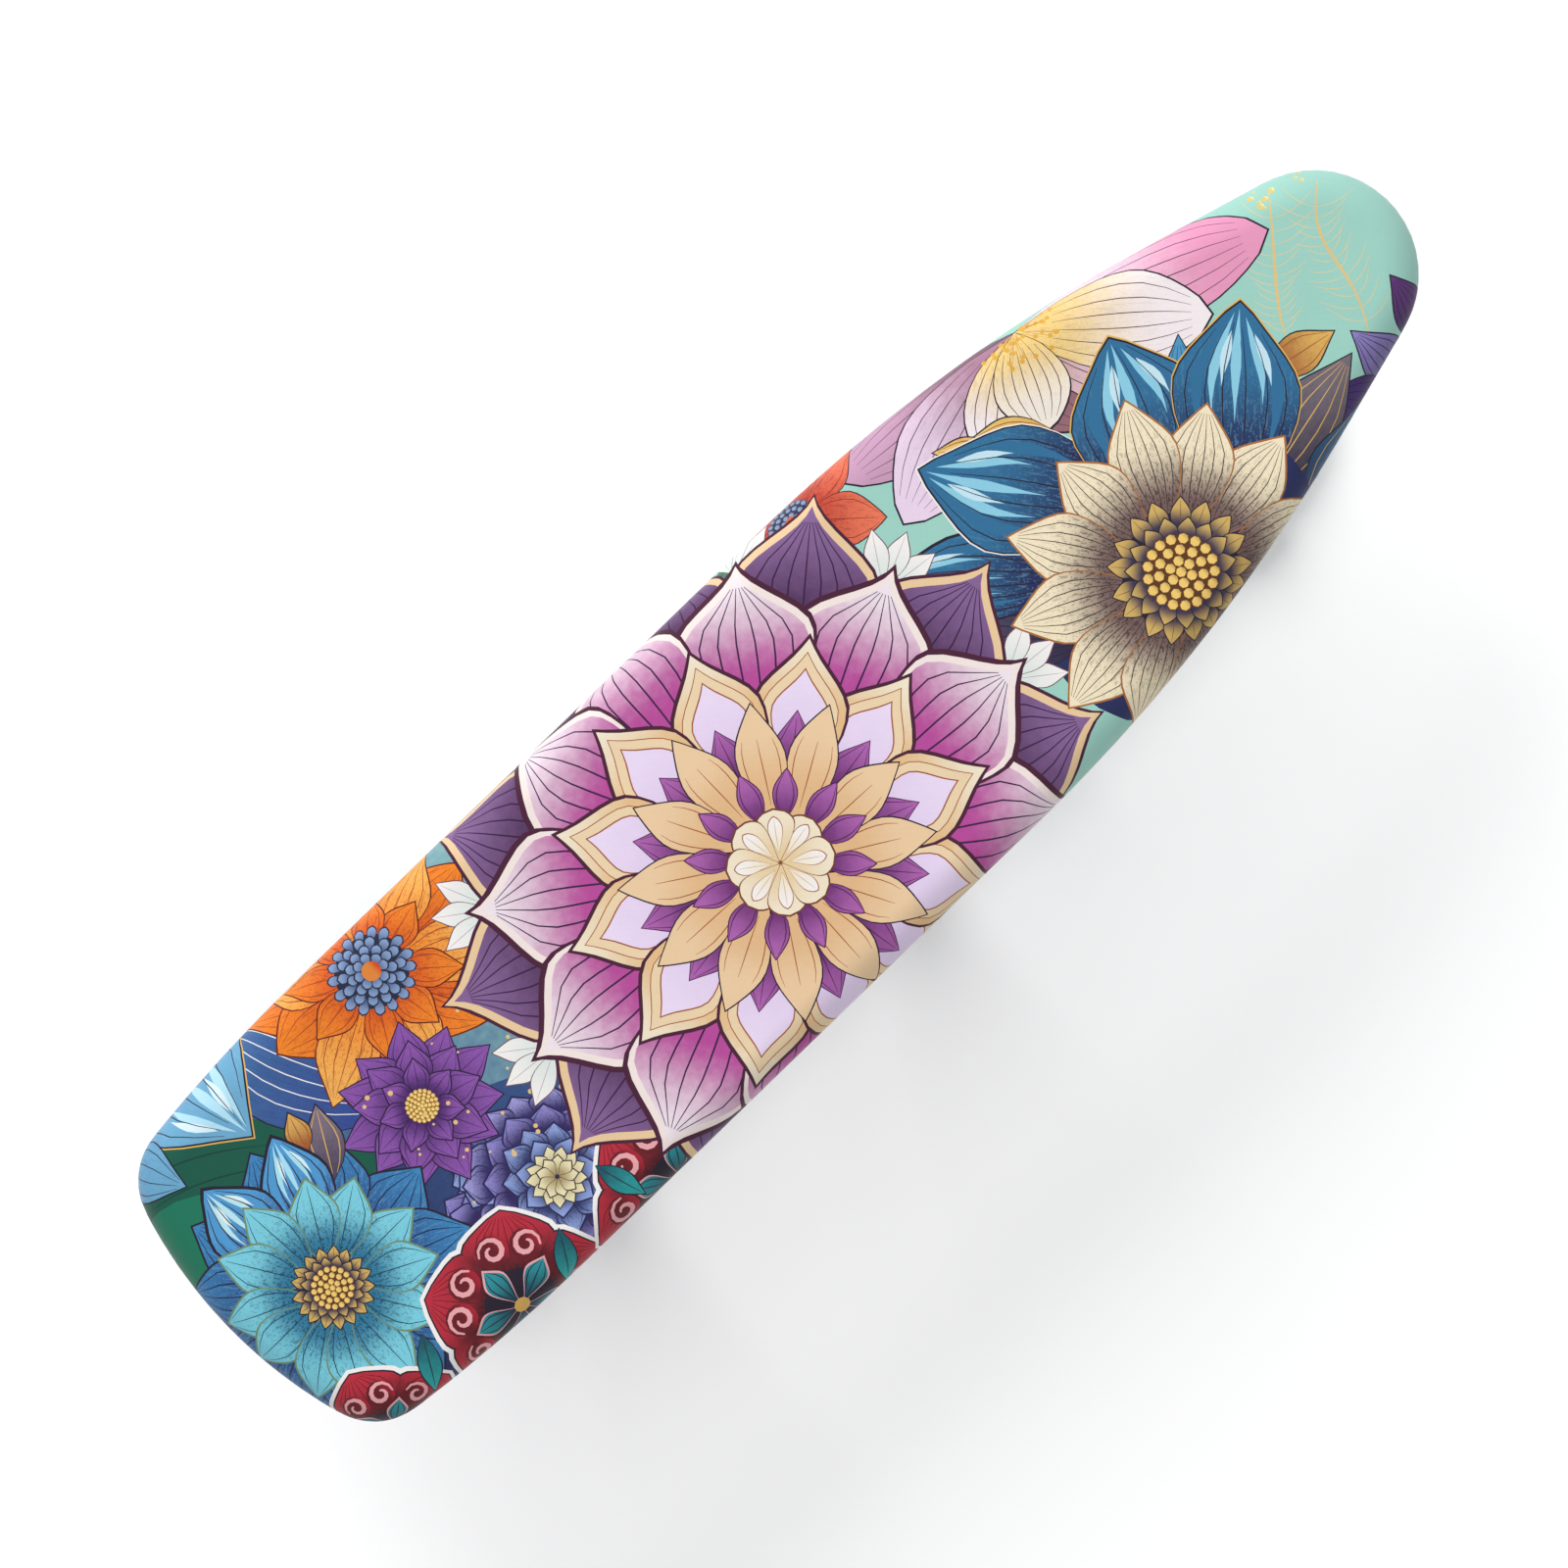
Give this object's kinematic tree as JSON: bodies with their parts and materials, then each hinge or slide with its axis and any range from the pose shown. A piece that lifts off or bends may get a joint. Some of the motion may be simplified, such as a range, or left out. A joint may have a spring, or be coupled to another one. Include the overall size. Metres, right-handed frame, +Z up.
{
  "type": "sleeve ironing board",
  "caption": "Narrow padded tabletop board for pressing sleeves and cuffs, with a printed cover, a perforated steel deck and a level-folding rod stand.",
  "frame": {"origin": "on the table, under the middle of the standing board", "axes": "+X towards the rounded nose, +Z up, +Y to the left seen from the tail"},
  "size_m": [0.51, 0.127, 0.1311],
  "materials": {
    "powder_coat": "satin powder coat",
    "zinc_steel": "bright zinc plate, satin",
    "rivet_alu": "satin",
    "rubber_grey": "matte",
    "nylon": "matte",
    "knob_plastic": "fine grain",
    "insert_brass": "turned",
    "wool_felt": "matte, fibrous",
    "foam": "matte, open cell",
    "printed_cotton": "plain weave, floral print",
    "elastic": "ribbed"
  },
  "bodies": {
    "base": {"base_frame": "powder_coat", "rear_crossbar": "powder_coat", "front_crossbar": "powder_coat", "rear_left_ear": "powder_coat", "rear_right_ear": "powder_coat", "front_left_ear": "powder_coat", "front_right_ear": "powder_coat", "rear_left_foot": "rubber_grey", "rear_right_foot": "rubber_grey", "front_left_foot": "rubber_grey", "front_right_foot": "rubber_grey", "link_bumpers": "rubber_grey"},
    "front_link": {"front_link_rod": "powder_coat", "front_washers": "nylon", "front_push_nuts": "zinc_steel"},
    "rear_link": {"rear_link_rod": "powder_coat", "rear_washers": "nylon", "rear_push_nut": "zinc_steel"},
    "knob": {"lock_knob": "knob_plastic", "knob_insert": "insert_brass"},
    "board": {"deck_plate": "zinc_steel", "rim_bar": "zinc_steel", "front_spine": "zinc_steel", "rear_spine": "zinc_steel", "cross_straps": "zinc_steel", "rear_saddle": "zinc_steel", "front_saddle": "zinc_steel", "saddle_rivets": "rivet_alu", "felt_pad": "wool_felt", "foam_pad": "foam", "elastic_band": "elastic", "hem_casing": "printed_cotton", "cover": "printed_cotton"}
  },
  "joints": [
    {"name": "fold", "type": "hinge", "parent": "base", "child": "front_link", "pos_m": [0, 0, 0.02], "axis": [0, 1, 0], "range_deg": [0, 88]},
    {"name": "board_level", "type": "hinge", "parent": "front_link", "child": "board", "pos_m": [-0.01364, 0, 0.11705], "axis": [0, 1, 0], "range_deg": [-88, 0]},
    {"name": "rear_swing", "type": "hinge", "parent": "base", "child": "rear_link", "pos_m": [-0.14, 0, 0.02], "axis": [0, 1, 0], "range_deg": [0, 88]},
    {"name": "knob_turn", "type": "hinge", "parent": "rear_link", "child": "knob", "pos_m": [-0.14, 0.045, 0.02], "axis": [0, 1, 0], "range_deg": [0, 180]}
  ],
  "couplings": [
    {"joint": "board_level", "follows": "fold", "ratio": -1},
    {"joint": "rear_swing", "follows": "fold", "ratio": 1}
  ]
}
